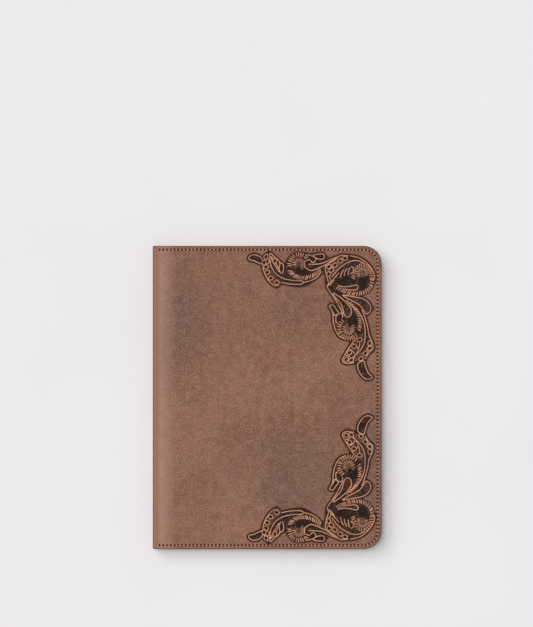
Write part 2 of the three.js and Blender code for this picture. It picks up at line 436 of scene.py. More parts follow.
def ridge(points, width=0.58, closed=False, high=0.18, outline=True, bright=1.0):
    """A raised line with a cut on each side of it, rubbed bright along its crest."""
    line = curve_through(points, closed)
    if outline:
        beside = np.clip(near_line(line, width + 0.85) * 3, 0, 1)
        np.maximum(paste_and_shade, beside, out=paste_and_shade)
        np.minimum(relief, -0.4 * beside, out=relief, where=beside > 0.35)
    near = near_line(line, width)
    crest = np.clip(near * 1.8, 0, 1)
    relief[:] = relief * (1 - crest) + high * crest
    paste_and_shade[:] = paste_and_shade * (1 - crest)
    rubbed[:] = rubbed * (1 - crest) + crest * (0.4 + 0.6 * near) * bright


def pit(u, v, r=1.35, stretch=1.35, turn=0.0):
    """A deep oval mark of the background stamp, with a bright lip."""
    a = np.linspace(0, 2 * math.pi, 12, endpoint=False)
    x, y = r * stretch * np.cos(a), r * np.sin(a)
    ring = np.stack([u + x * math.cos(turn) - y * math.sin(turn),
                     v + x * math.sin(turn) + y * math.cos(turn)], 1)
    closed_ring = np.vstack([ring, ring[:1]])
    around = np.clip(near_line(closed_ring, 1.45) * 3, 0, 1)
    np.maximum(paste_and_shade, around * 0.9, out=paste_and_shade)
    lip = np.clip(near_line(closed_ring, 0.8) * 2, 0, 1)
    relief[:] = relief * (1 - lip) + 0.05 * lip
    paste_and_shade[:] = paste_and_shade * (1 - lip)
    np.maximum(rubbed, lip * 0.85, out=rubbed)
    cells = inside(ring)
    relief[cells] = -0.65
    paste_and_shade[cells] = 1.0
    rubbed[cells] = 0.0


def petal(points, dark):
    """A leaf's rolled rim with a hollow, stippled heart."""
    rubbed[flat_area(points, deep=0.3, dark=dark)] = 0
    ridge(points, closed=True)


def fluted(points, reach_in, reach_out, slant, pitch=2.0, width=0.62):
    """A band of ribs across a line, like the flutes of a shell, with a dark cut all round it."""
    line = curve_through(points)
    steps = np.hypot(*np.diff(line, axis=0).T)
    run = np.concatenate([[0], np.cumsum(steps)])
    band = np.clip(near_line(line, max(reach_in, reach_out) + 0.75) * 4, 0, 1)
    relief[:] = relief * (1 - band) - 0.5 * band
    paste_and_shade[:] = np.maximum(paste_and_shade, band)
    rubbed[:] = rubbed * (1 - band)
    for s in np.arange(pitch / 2, run[-1], pitch):
        i = min(np.searchsorted(run, s), len(line) - 1)
        here = line[i]
        ahead = line[min(i + 1, len(line) - 1)] - line[i - 1]
        ahead /= max(np.hypot(*ahead), 1e-9)
        across = np.array([-ahead[1], ahead[0]]) + slant * ahead
        ridge([here - across * reach_in, here + across * (reach_out - reach_in) / 2,
               here + across * reach_out], width=width, outline=False, high=0.12, bright=0.95)


def rosette(u, v, r, first, last):
    """The heart of a scroll: a stippled disc inside a dark ring, with fine strokes like a shell's."""
    turn = np.linspace(0, 2 * math.pi, 40, endpoint=False)
    rim = np.stack([u + r * np.cos(turn), v + r * np.sin(turn)], 1)
    cells = inside(rim)
    relief[cells] = -0.08
    paste_and_shade[cells] = 0.42
    rubbed[cells] = 0

    def rays(angles, *reaches):
        for a in np.radians(angles):
            yield [(u, v) + np.array([math.cos(a), math.sin(a)]) * r * reach for reach in reaches]

    for ray in rays(np.arange(first, last, 12)[:-1], 0.55, 0.8, 1.02):
        cut_line(ray, width=0.42, deep=0.35)
    for ray in rays(np.arange(first, last, 24) + 6, 0.5, 0.75, 1.0):
        ridge(ray, width=0.5, outline=False, high=0.05, bright=0.75)
    cut_line(rim, closed=True, width=0.6)


# %% [markdown]
# ## Drawing the scroll
# The ground comes first, then the leaves' flats, then petals, flutes, stems and last the pits. The pattern
# starts at a root near the corner. One arm follows the head edge and ends in a teardrop, and the other
# follows the fore-edge and ends in another.

# %% Ground and leaf bodies
flat_area([(97, 5), (100, 6.5), (102, 11), (104, 17), (103, 22), (98.5, 31), (91.5, 36.5), (86, 33.5),
           (77, 35), (67, 35), (58, 29.5), (53, 24), (49, 25.5), (48.5, 33), (45, 40), (40.5, 47),
           (39.5, 51), (43, 50.5), (46.5, 52), (43, 58), (42.5, 67), (40, 76), (35, 81), (28, 82),
           (28.5, 88), (33, 95), (35.5, 100.5), (30, 103), (21, 102.5), (21.5, 108), (17, 114),
           (12, 117), (6.5, 114.5), (11.5, 110), (13.5, 103), (12.5, 96), (6.5, 91), (6.5, 84),
           (9.5, 78), (10.5, 71), (13.5, 62), (9.5, 58), (8.5, 53), (11, 47.5), (19, 44), (12, 39.5),
           (6.5, 33), (4.5, 27), (7.5, 19.5), (13, 13), (20, 9), (29, 7.5), (36, 7.5), (44, 12),
           (49, 7.5), (55, 6), (62, 7), (71, 6), (79, 8.5), (83, 15), (83.5, 22), (86, 16), (90.5, 11)],
       deep=0.45, dark=0.8)
for leaf_outline in (
    [(97.5, 7), (101.5, 11), (103, 17), (102, 22.5), (97.5, 30.5), (92, 35), (87, 32), (93, 25), (97, 17)],
    [(29, 9), (35, 8.5), (40, 11), (49, 17), (46.5, 24), (44.5, 28), (36.5, 18.5), (29.5, 13)],
    [(14, 75), (20, 79), (26, 86), (33, 97), (31, 102), (23, 100.5), (14, 96), (8, 90), (8, 84), (11, 78)],
):
    flat_area(leaf_outline, deep=0.12, dark=0.5)

# %% Petals
for dark, petal_outline in (
    (0.8, [(102, 16), (107.5, 14.5), (111, 12.8), (114.8, 12), (115, 9.8), (112.5, 8), (108.5, 8),
           (104.5, 10.5)]),
    (0.95, [(69.5, 7), (66, 8.5), (62.5, 12), (59.5, 14.5), (57, 12), (58.5, 9.5), (63, 8)]),
    (0.95, [(59.5, 8.5), (55.5, 7.2), (51, 7), (49.5, 9.3), (51, 11.5), (56, 11)]),
    (0.8, [(39, 34.2), (33, 35.5), (27, 35), (22, 34), (20.3, 35.8), (22, 38.2), (28, 38.2), (34, 36.8)]),
    (0.7, [(33.5, 42.8), (28, 46.5), (23, 49), (18.5, 52), (15.5, 56), (13.5, 59), (10.2, 57.3),
           (9.5, 53.5), (11.5, 49), (17, 45.6), (24, 44.3)]),
    (0.75, [(42, 41), (37.5, 43.5), (33, 47), (29, 51), (26.5, 55), (26.3, 59), (28.5, 61.8),
           (32, 60.5), (33.3, 56), (35.5, 50), (39.5, 45.5)]),
    (0.9, [(45.3, 52.2), (42, 51.6), (39.8, 54.5), (37.5, 58), (40.5, 60.5), (42, 57.5)]),
    (0.9, [(36.5, 58.6), (34, 59.5), (34, 62.5), (36.5, 66), (39.3, 66.5), (39.5, 61.5)]),
    (0.8, [(20.2, 102), (20.5, 106.5), (18.5, 111), (14.5, 115.2), (10.3, 115.7), (8, 114),
           (11.5, 110.5), (13.8, 105), (15.5, 100)]),
):
    petal(petal_outline, dark)

# %% Fluted scrolls
for reach_in, reach_out, slant, flute_line in (
    (1.35, 1.5, 0, [(79.8, 20.5), (80, 15.5), (78.4, 10.9), (74.5, 8.0), (69.5, 7.9), (65.5, 10.0),
                    (63.6, 14)]),
    (1.4, 1.5, 0.65, [(80, 20.5), (78.3, 24), (74.5, 26.7), (69.5, 27.9), (63.5, 27.2), (58, 25),
                      (53.5, 21.8)]),
    (1.35, 1.4, 0.35, [(25, 29), (23.8, 24.3), (21.5, 19.5), (17.5, 16.7), (13, 17.5), (9.8, 21.8),
                       (8.5, 27.3), (8.4, 33.3), (11.3, 38), (16, 40.8), (22, 41.6), (28.2, 40.9),
                       (34.3, 38.3), (39.5, 35.6)]),
    (1.4, 1.5, 0, [(33, 64.3), (35.9, 67.5), (36.9, 72), (35.3, 77), (31, 80), (26, 80.2), (22, 77.8)]),
    (1.1, 1.2, 0.5, [(28.3, 48.8), (24.5, 52.8), (21, 57.3), (19.2, 62), (18.6, 67), (19.4, 73)]),
):
    fluted(flute_line, reach_in, reach_out, slant)
rosette(71.9, 15.8, 5.7, 120, 370)
rosette(16.6, 23.2, 5.5, 150, 400)
rosette(28.6, 72.2, 5.7, -30, 230)
for eye in ([(73.5, 19.3), (69, 18.2), (64.5, 18.6), (60.8, 21.5), (61.5, 24.2), (66.5, 24.8), (72, 23.4)],
            [(19.8, 30), (17.5, 27.8), (14.3, 28.8), (13, 32.5), (14.5, 36.6), (17.6, 37), (20, 33.8)],
            [(28.4, 64.2), (26.5, 61.2), (23.3, 61.8), (21.6, 66), (22.8, 70.3), (25.8, 71), (28.4, 68)],
            [(38.5, 32), (34.5, 28.3), (29.5, 25.3), (25.8, 29.5), (22.8, 33), (31, 34.2)]):
    flat_area(eye, deep=0.6, dark=1.0)
    cut_line(eye, closed=True, width=0.7)

# %% Stems, veins and leaf edges
for stem in (
    [(97, 6.5), (97, 13), (95.5, 18.5), (91.5, 24.5), (85, 28.3), (77, 30), (69.5, 30.4), (68, 32),
     (70.5, 33.3), (79, 33.2), (87, 31.6)],
    [(96.8, 9), (93.5, 15.5), (89, 22.5)],
    [(95.5, 9.5), (91.5, 15.5), (87.5, 23.8)],
    [(96, 6.5), (92.5, 10.2), (89.5, 12.5), (88.3, 15.5), (89, 20)],
    [(88, 14.5), (85.7, 15.8), (85, 19.5), (86, 24)],
    [(99, 7), (101.5, 11), (103, 16.5), (102.3, 22), (98.5, 29.5), (93.5, 34.2), (89.5, 34.3)],
    [(63, 16), (58.5, 16), (52.5, 15.3), (46.5, 13), (40, 10)],
    [(67, 13), (66.5, 18), (62, 21.3), (57, 20.3), (51, 17.5), (44.5, 14.5), (38.5, 10.5)],
    [(67, 31.6), (61, 30), (56, 27), (52.3, 22.5)],
    [(26.8, 8.6), (20, 10.3), (14.5, 13.5), (10, 18), (6.8, 23.5), (6, 28.3), (8.3, 29.8)],
    [(43, 27), (38, 20.8), (32.5, 16.3), (26, 13.2), (20, 13), (14.5, 15.5)],
    [(29, 8.6), (36, 8.6), (43, 12.8), (48.5, 17.5), (48, 25), (46, 32), (47, 36), (42.5, 43),
     (37.5, 51), (33.6, 59)],
    [(44, 31.5), (40, 27), (37, 23.5)],
    [(35.6, 27.5), (34.8, 24), (33.2, 21)],
    [(32.4, 26.2), (31.8, 22.8), (30.2, 19.8)],
    [(29, 25.3), (28.7, 22), (27.4, 19)],
    [(26.3, 18), (24.5, 19.5), (24.8, 23), (26.8, 24)],
    [(45.6, 26.5), (43.9, 30.5), (46, 34.5)],
    [(41.3, 29.5), (44.5, 33.8)],
    [(30.3, 47.5), (25, 52.5), (20, 57), (16.5, 63), (14.6, 70), (14.2, 78), (15.3, 85), (19, 91.5),
     (25, 97)],
    [(17, 55), (14.2, 63), (12, 71), (10.8, 78), (8, 84), (7.5, 89.5), (11, 93), (14.2, 98)],
    [(45.3, 52), (42.5, 58), (41.8, 66), (40, 73), (36.8, 78.3), (32, 81)],
    [(21.5, 80), (25.5, 84.5), (28.8, 89.5), (31.5, 94), (34, 99.5), (31, 102), (24, 101.5)],
    [(19.5, 79.5), (19, 85), (20.5, 91), (24, 97), (27.5, 101)],
    [(25, 84.8), (22.5, 86.2), (20.3, 89.5)],
    [(28.2, 89.8), (25.6, 90.8), (23.2, 94)],
    [(31, 95.3), (28.3, 95.8), (26.2, 98.5)],
    [(8.3, 86.8), (11, 87.3), (13, 89.8)],
    [(10.5, 91.3), (12.6, 91.2), (15.2, 94.8)],
):
    ridge(stem)
for vein in (
    [(96, 9), (97.5, 16), (94, 22.5), (88.5, 27.8), (80, 31), (70, 31.8)],
    [(47.5, 34), (41, 38), (35, 43), (29, 49)],
    [(45.5, 38), (38.5, 45), (33, 53)],
    [(29, 11.5), (22, 11.3), (16, 13.7), (11.8, 17.5), (8.8, 22.5)],
    [(12.5, 74), (12.8, 84), (17, 92)],
):
    cut_line(vein)

# %% Pits, with the deepest marks last
for u, v, turn in ((100.3, 9.5, 1.2), (99.3, 13.5, 1.3), (102, 14.5, 1.4), (100.3, 18.3, 0.6),
                   (99.3, 23, 0.5), (96.2, 28, 0.4), (91, 31.8, 0.1), (92.7, 13, 1.1),
                   (31.7, 10.7, 0.3), (36, 13, 0.4), (40.5, 16.8, 0.6), (43.5, 21, 0.9), (46, 24.5, 1.2),
                   (45.5, 18, 0.8), (19, 81.5, 0.3), (23.8, 87.3, 0.4), (27.8, 92.8, 0.6), (30.7, 98.7, 0.8),
                   (26.3, 99.3, 0.5), (10.2, 84.5, 1.2), (10.2, 89, 1.0), (14, 93.3, 0.9), (17.8, 98, 0.7)):
    pit(u, v, turn=turn)
for u, v0, v1 in ((87, 16.5, 21), (26.5, 19, 21.5)):
    cut_line([(u, v0), (u + 0.2, (v0 + v1) / 2), (u, v1)], width=1.1, deep=0.6)

# %% Soften the plan, spread the paste and the painted shade, and read it
def soften(layer, passes):
    """Round the plan's steps off, as damp leather does."""
    for _ in range(passes):
        for axis in (0, 1):
            layer = (np.roll(layer, 1, axis) + 2 * layer + np.roll(layer, -1, axis)) / 4
    return layer


stipple = np.random.default_rng(7).normal(0, 1, (side // 8, side // 8)).repeat(8, 0).repeat(8, 1)
hollow = soften((paste_and_shade > 0.3).astype(np.float32), 2)
relief = soften(relief + 0.06 * stipple * hollow, 3)
drawn = ((paste_and_shade > 0.3) | (rubbed > 0.3)).astype(np.float32)
# A band about a millimetre wide round the tooled shapes is bevelled down and added to the paste layer: it is
# partly antique paste and partly painted shade along the bevel.
around = np.clip(3.6 * soften(drawn, 60), 0, 1) * (1 - soften(drawn, 1))
relief = relief - 0.22 * around
paste_and_shade = np.clip(np.maximum(soften(paste_and_shade, 2), around) + 0.2 * soften(stipple, 4) * hollow, 0, 1)
rubbed = np.clip(soften(rubbed, 2), 0, 1)
touched = soften((paste_and_shade > 0.05).astype(np.float32), 6) > 0.02
print("tooled area, cm2 per corner:", round(float((paste_and_shade > 0.3).mean()) * PLAN_SIZE**2 / 100, 1))


def read_plan(layer, x, y):
    """The plan's value under points of the front; both corners use it, mirrored about the middle."""
    u = (fore_x - x) / mm / CELL
    v = (head_y - np.abs(y)) / mm / CELL
    iu, iv = np.clip(u.astype(int), 0, side - 2), np.clip(v.astype(int), 0, side - 2)
    fu, fv = np.clip(u - iu, 0, 1), np.clip(v - iv, 0, 1)
    value = (layer[iv, iu] * (1 - fu) * (1 - fv) + layer[iv, iu + 1] * fu * (1 - fv)
             + layer[iv + 1, iu] * (1 - fu) * fv + layer[iv + 1, iu + 1] * fu * fv)
    return np.where((u < side - 2) & (v < side - 2), value, 0)


# %% [markdown]
# ## The leather
# The hide is 1.8 mm thick and goes round the spine in one piece. A Solidify gives the thickness, a bevel
# rounds the cut edge, and bisected lines give points for the gentle unevenness of a used cover. Only the
# tooled and sewn strips get fine points, which keeps the piece small. The sizes of the dents below are in
# millimetres.

# %% A solid half of the hide
line_gap = 2.5 * mm
fine_cuts = 5
fine_strip = 2.2
rim_round = 0.45 * mm
groove_width, groove_depth, hole_size, hole_depth = 1.1, 0.4, 0.95, 0.45
crease_place, crease_width, crease_depth = 1.2, 0.55, 0.22


def fold_lines():
    """Lines across a half, closer together beside the fold."""
    beside = fold_x + np.array([0.4, 0.8, 1.2, 1.6, 2.0, 3.2]) * mm
    return np.concatenate([beside, np.arange(fold_x + 5 * mm, fore_x - 0.5 * mm, line_gap)])


def solid_half(depth, thickness, inset, rim_bevel):
    half = cut_panel(fold_x, inset, depth, head_y - inset)
    fold_down(half, middle_z)
    thicken(half, thickness)
    round_rim(half, rim_bevel, test=lambda e: max(v.co.z for v in e.verts) > middle_z + 0.01 * mm)
    return half


def seam_dents(x, y, far=9.0):
    """How far each point is from the seam's line and from the nearest hole, in millimetres."""
    near_seam, near_hole = np.full(len(x), far), np.full(len(x), far)
    strip = (fore_x - x < 8 * mm) | (head_y - np.abs(y) < 8 * mm)
    xs, ys = x[strip], y[strip]
    best = np.full(len(xs), far)
    for px, py in seam_holes[:, :2]:
        best = np.minimum(best, np.hypot(xs - px, ys - py))
    near_hole[strip] = best
    cx, cy = fore_x - corner_radius, head_y - corner_radius
    corner = np.hypot(np.maximum(xs - cx, 0), np.maximum(np.abs(ys) - cy, 0))
    side_gap = np.where(np.abs(ys) < cy, fore_x - seam_inset - xs, corner - corner_radius + seam_inset)
    near_seam[strip] = np.abs(np.where(xs < cx, head_y - seam_inset - np.abs(ys), side_gap))
    return near_seam / mm, near_hole / mm


def roll_off(x):
    """The front slopes gently away to the fold."""
    return -0.4 * mm * np.exp(-np.clip(x - spine_x, 0, None) / (8 * mm))


def wander(x, y, seed):
    """A slow unevenness, as in leather that has been handled."""
    rng = np.random.default_rng(seed)
    total = np.zeros(len(x))
    for _ in range(10):
        kx, ky = rng.normal(0, 28, 2)
        total += np.cos(kx * x + ky * y + rng.uniform(0, 6.28))
    return total / 10


# %% One half of the cover, tooled or plain
def make_cover_half(name, tooled):
    half = solid_half(0, leather, 0, rim_round)
    rule_lines(half, fold_lines(), np.arange(-head_y + line_gap / 2, head_y, line_gap))
    only(half)
    choose_faces(half, lambda centre, normal: (normal[:, 2] < -0.9)
                 & (centre[:, 0] > fold_x + 6 * mm) & (centre[:, 2] > middle_z))
    bpy.ops.mesh.dissolve_limited(angle_limit=math.radians(1))

    def wanted(centre, normal):
        x, y, z = centre.T
        fine = seam_dents(x, y)[0] < fine_strip
        if tooled:
            fine |= read_plan(touched, x, y) > 0
        return fine & (normal[:, 2] > 0.9) & (z > top_z - 0.2 * mm) & (x > fold_x)

    only(half)
    count = choose_faces(half, wanted)
    bpy.ops.mesh.subdivide(number_cuts=fine_cuts, quadcorner="INNERVERT")
    leave_edit()
    x, y, z = points_of(half)
    on_top = (z > top_z - 0.05 * mm) & (x > fold_x - 0.1 * mm)
    near_seam, near_hole = seam_dents(x, y)
    groove = np.exp(-((near_seam / groove_width) ** 2))
    hole = smooth_step(1.25 - near_hole / hole_size)
    crease = np.exp(-(((x - fold_x) / mm - crease_place) / crease_width) ** 2)
    lift = -groove_depth * groove - hole_depth * hole - crease_depth * crease
    tooling_paste_and_shade = shine = np.zeros(len(x))
    if tooled:
        lift = lift + read_plan(relief, x, y)
        # The paste layer also holds painted shade in the band round the tooled shapes.
        tooling_paste_and_shade, shine = read_plan(paste_and_shade, x, y), read_plan(rubbed, x, y)
    uneven = 0.12 * wander(x, y, 3 if tooled else 4)
    edge = np.minimum(fore_x - x, head_y - np.abs(y)) / mm
    z = z + np.where(on_top, lift * mm, 0)
    near_top = np.clip((z - top_z + leather) / leather, 0, 1)
    z = z + near_top * (uneven * mm * smooth_step(edge / 12) * (x > fold_x) + roll_off(x))
    move_points(half, x, y, z)
    pare_fold(half)
    # The groove layer holds painted shade for the seam's groove and the fold's crease, and the hole layer
    # holds painted shade for the stitch holes.
    for layer, values in (("paste_and_shade", tooling_paste_and_shade), ("rubbed", shine), ("hole", hole),
                          ("groove", np.maximum(groove, crease))):
        paint(half, layer, np.where(on_top, values, 0))
    settle(half, name)
    half.data.calc_loop_triangles()
    print(name, "fine cells:", count, "triangles:", len(half.data.loop_triangles))
    return half


front = make_cover_half("front_cover_leather", tooled=True)

# %% [markdown]
# The back is the same half without the tooling, turned over about the middle of the spine.

# %% The back half
def turn_over(obj):
    """Mirror a piece top to bottom, and turn its faces outward again."""
    x, y, z = points_of(obj)
    move_points(obj, x, y, top_z - z)
    edit(obj, everything=True)
    bpy.ops.mesh.flip_normals()
    leave_edit()
    return obj


back = turn_over(make_cover_half("back_cover_leather", tooled=False))


def follow(obj, upper):
    """Put a folded half's place into its mesh; the upper and the lower half are treated alike."""
    if upper:
        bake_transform(obj)
    else:
        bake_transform(obj)


follow(front, True)
follow(back, False)
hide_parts("front_leather", "spine_leather")
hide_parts("back_leather")
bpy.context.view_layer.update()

# %% [markdown]
# ## The lining
# A thin skin is glued to the inside of the hide and sewn in with it. It follows the same bend with a
# smaller radius, so it is cut, spun and thickened in the same way, and is also made in two halves.

# %% Lining halves
def place(piece, body, *nodes, slot_name):
    """Attach a piece to the body that moves it, or, for a fold, put its place into its mesh; then hide the
    nodes it stands for. slot_name is not used.
    """
    if body.endswith("fold"):
        follow(piece, upper=body == "upper fold")
    else:
        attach(piece, body)
    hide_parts(*nodes)


def make_lining(name, inset=0.15 * mm):
    half = solid_half(lining_low, lining_high - lining_low, inset, rim_bevel=inset)
    rule_lines(half, fold_lines()[::2], np.arange(-head_y + 3 * mm, head_y, 6 * mm))
    pare_fold(half)
    return settle(half, name)


front_lining = make_lining("front_cover_lining")
back_lining = turn_over(make_lining("back_cover_lining"))
place(front_lining, "upper fold", "front_lining", "spine_lining", slot_name="lining_leather")
place(back_lining, "lower fold", "back_lining", slot_name="lining_leather")

# %% [markdown]
# ## The sleeves
# A sleeve is a leather pocket that a board of the notebook slides into. Its free edge is scooped for the
# hand, and its other three edges are sewn down. So the panel lies on the lining at the rim and climbs over
# the board's edge just inside the seam. The panel is ruled into lines, its free edge is moved to the
# scoop, and its rim is pressed down.

# %% One sleeve, then its mirror
scoop_depth = 10 * mm
sleeve_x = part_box("back_sleeve")[0].x
sleeve_thickness = sleeve_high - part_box("notebook_back_board")[1].z - 0.2 * mm


def press_down(x, y, low, high, side_run, end_run):
    """The height of a sewn panel: low at its rim, high once it has climbed over the board."""
    from_fore = (fore_x - x - 3.0 * mm) / side_run
    from_head = (head_y - np.abs(y) - 3.4 * mm) / end_run
    return low + (high - low) * smooth_step(np.minimum(from_fore, from_head))


def make_sleeve(name, inset=0.05 * mm):
    sleeve = cut_panel(sleeve_x, inset, 0, head_y - inset)
    across = np.concatenate([np.arange(sleeve_x + 3 * mm, fore_x - 8 * mm, 4 * mm),
                             fore_x - np.arange(1, 7.5, 0.5) * mm])
    along = np.concatenate([np.arange(-120, 121, 6) * mm, [s * (head_y - d * mm) for s in (-1, 1)
                                                          for d in (1.5, 3, 3.8, 4.6, 5.4, 6.2, 7, 8)]])
    rule_lines(sleeve, across, along)
    x, y, z = points_of(sleeve)
    scoop = scoop_depth * (1 - (y / head_y) ** 2)
    x = x + scoop * smooth_step(1 - (x - sleeve_x) / (50 * mm))
    depth = press_down(x, y, lining_high, sleeve_low, 1.6 * mm, 3.4 * mm)
    free = np.exp(-((x - sleeve_x - scoop) / (6 * mm)) ** 2)
    depth = depth + (0.12 * mm * wander(x, y, 11)) * smooth_step((fore_x - x) / (20 * mm)) - 0.1 * mm * free
    move_points(sleeve, x, y, top_z - depth)
    thicken(sleeve, sleeve_thickness)
    round_rim(sleeve, 0.25 * mm)
    return settle(sleeve, name)


front_sleeve = make_sleeve("front_cover_sleeve")
back_sleeve = turn_over(make_sleeve("back_cover_sleeve"))
place(front_sleeve, "front_cover", "front_sleeve", slot_name="sleeve_leather")
place(back_sleeve, "back_cover", "back_sleeve", slot_name="sleeve_leather")

# %% [markdown]
# ## Card pockets
# Two patches are sewn on the front sleeve, with their mouths toward the head and a thumb scoop in each.
# A patch is a plane with bevelled corners. The scoop is a disc's worth of points drawn out of the mouth.

# %% Patches for cards
pocket_low, pocket_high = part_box("card_pocket_upper")[0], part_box("card_pocket_upper")[1]
pocket_x0, pocket_x1 = pocket_low.x, pocket_high.x
pocket_middle = (pocket_x0 + pocket_x1) / 2
pocket_tall = pocket_high.y - pocket_low.y
thumb, patch_thickness = 11 * mm, 0.6 * mm
pocket_z = top_z - sleeve_low - sleeve_thickness


def make_pocket(name, node):
    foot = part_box(node)[0].y
    mouth = foot + pocket_tall
    patch = new_block((pocket_x0, foot, pocket_z), (pocket_x1, mouth, pocket_z), "plane")
    round_corners(patch, 4 * mm, 6, lambda v: True)
    round_arc = [pocket_middle + thumb * math.cos(a) for a in np.linspace(0.02, math.pi - 0.02, 21)]
    ruled = sorted([*np.arange(pocket_x0 + 2 * mm, pocket_x1, 4 * mm), *round_arc])
    rule_lines(patch, ruled, [*np.arange(foot + 2 * mm, mouth - 12 * mm, 4 * mm),
                              *(mouth - d * mm for d in (12, 9, 6, 3))])
    x, y, z = points_of(patch)
    inside_thumb = np.clip(1 - ((x - pocket_middle) / thumb) ** 2, 0, 1)
    reach = np.clip((y - (mouth - 30 * mm)) / (30 * mm), 0, 1)
    y = y - thumb * np.sqrt(inside_thumb) * reach**1.5
    edge = np.minimum(np.minimum(x - pocket_x0, pocket_x1 - x), y - foot) / mm
    swell = 0.22 * smooth_step((edge - 2.4) / 6) + 0.05 * wander(x, y, 21)
    move_points(patch, x, y, z - swell * mm)
    thicken(patch, patch_thickness)
    round_rim(patch, 0.18 * mm)
    return settle(patch, name)


pockets = [make_pocket("card_pocket_head", "card_pocket_upper"),
           make_pocket("card_pocket_foot", "card_pocket_lower")]
for piece, node in zip(pockets, ("card_pocket_upper", "card_pocket_lower")):
    place(piece, "front_cover", node, slot_name="sleeve_leather")

# %% [markdown]
# ## Stitches
# Each stitch is a short length of waxed thread that dives into a hole at both ends. One is modelled from a
# six-sided cylinder, with rings cut into it and its ends drawn in and down. It is then copied to each place
# of a seam, and the copies are joined. The seam is laid out flat and bent over the fold afterwards, so the
# last stitches follow the spine.

# %% One stitch
def make_stitch(length, width):
    bpy.ops.object.select_all(action="DESELECT")
    bpy.ops.mesh.primitive_cylinder_add(
        vertices=6, radius=width / 2, depth=length, rotation=(0, math.pi / 2, 0), end_fill_type="TRIFAN",
    )
    stitch = bpy.context.object
    only(stitch)
    bpy.ops.object.transform_apply(location=True, rotation=True, scale=True)
    rule_lines(stitch, [length * t for t in (-0.36, -0.18, 0.18, 0.36)])
    x, y, z = points_of(stitch)
    end = np.abs(x) / (length / 2)
    thin = 1 - 0.55 * np.clip((end - 0.6) / 0.4, 0, 1) ** 2
    move_points(stitch, x, y * thin, z * thin * 0.8 - 0.75 * width * end**4)
    only(stitch)
    bpy.ops.object.shade_smooth()
    stitch.name = "one_stitch"
    return stitch


def sew(name, stitch, places, height, slant=0.12):
    """Copies of one stitch at (x, y, direction) places, all at one height above z = 0, joined."""
    copies = []
    for i, (x, y, direction) in enumerate(places):
        copy = stitch.copy()
        copy.data = stitch.data.copy()
        bpy.context.collection.objects.link(copy)
        copy.location = (x, y, height)
        copy.rotation_euler = (0, 0, direction + slant + 0.05 * math.sin(i * 2.4))
        copies.append(copy)
    bpy.ops.object.select_all(action="DESELECT")
    for copy in copies:
        copy.select_set(True)
    bpy.context.view_layer.objects.active = copies[0]
    bpy.ops.object.join()
    return settle(bpy.context.object, name, angle=60)


stitch = make_stitch(1.95 * mm, 0.8 * mm)


def cover_seam(name, height, proud=0.25 * mm):
    """A whole seam on one cover, bent round the fold, where it stands a little proud of the leather."""
    row = sew(name, stitch, seam, height)
    x, y, z = points_of(row)
    z = z + proud * smooth_step((fold_x - x) / (3 * mm))
    move_points(row, *bend_over_fold(x, y, z))
    return row


front_seam = cover_seam("front_outer_stitches", -0.3 * mm)
x, y, z = points_of(front_seam)
move_points(front_seam, x, y, z + roll_off(x) * np.clip((z - top_z + leather) / leather, 0, 1))
back_seam = turn_over(cover_seam("back_outer_stitches", -0.34 * mm))
place(front_seam, "upper fold", "front_outer_thread", "spine_outer_thread_head", "spine_outer_thread_tail",
      slot_name="seam_thread")
place(back_seam, "lower fold", "back_outer_thread", slot_name="seam_thread")

# %% The same seam seen from inside
def inner_seam(name):
    """The inner face of the seam runs over the sleeve, and on the lining where there is no sleeve."""
    row = sew(name, stitch, seam, 0)
    x, y, z = points_of(row)
    z = z + 0.12 * mm
    on_sleeve = smooth_step((x - sleeve_x - 1.5 * mm) / (1 * mm) + 0.5)
    flat = x, y, top_z - lining_high - sleeve_thickness * on_sleeve - z
    folded = bend_over_fold(x, y, -z, depth=lining_high)
    move_points(row, *np.where(x < fold_x, folded, flat))
    pare_fold(row)
    return row


front_inner_seam = inner_seam("front_inner_stitches")
back_inner_seam = turn_over(inner_seam("back_inner_stitches"))
place(front_inner_seam, "upper fold", "front_inner_thread", "spine_inner_thread_head",
      "spine_inner_thread_tail", slot_name="seam_thread")
place(back_inner_seam, "lower fold", "back_inner_thread", slot_name="seam_thread")

# %% Pocket stitches
def pocket_seam_places(foot, mouth):
    inset, pitch = 2.2 * mm, 2.6 * mm
    x0, x1, y0 = pocket_x0 + inset, pocket_x1 - inset, foot + inset
    places = [(x0, y, math.pi / 2) for y in np.arange(mouth - 1.6 * mm, y0 + 1 * mm, -pitch)]
    places += [(x, y0, 0) for x in np.arange(x0 + pitch / 2, x1, pitch)]
    places += [(x1, y, math.pi / 2) for y in np.arange(y0 + pitch / 2, mouth - 1 * mm, pitch)]
    return places


small_stitch = make_stitch(2.0 * mm, 0.5 * mm)
for end, node in (("head", "card_pocket_upper"), ("foot", "card_pocket_lower")):
    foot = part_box(node)[0].y
    row = sew(f"pocket_stitches_{end}", small_stitch, pocket_seam_places(foot, foot + pocket_tall), 0)
    x, y, z = points_of(row)
    move_points(row, x, y, pocket_z - patch_thickness - 0.12 * mm - z)
    edit(row, everything=True)
    bpy.ops.mesh.normals_make_consistent(inside=False)
    leave_edit()
    place(row, "front_cover", node + "_thread", slot_name="seam_thread")
for spare in (stitch, small_stitch):
    bpy.data.objects.remove(spare)

# %% [markdown]
# ## The notebook's boards
# A composition notebook has two stiff pressboard covers, a cloth tape round the spine and a block of sewn
# leaves. The boards slide into the sleeves. A board is a cut sheet with bevelled edges and two rounded
# corners; the tape is a thin strip that laps over its spine edge.

# %% Boards with their cloth strips
book_x0, book_x1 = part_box("notebook_back_board")[0].x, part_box("notebook_back_board")[1].x
book_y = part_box("notebook_back_board")[1].y
tape_lap = 24 * mm
board_corner, page_corner = 10 * mm, 9 * mm


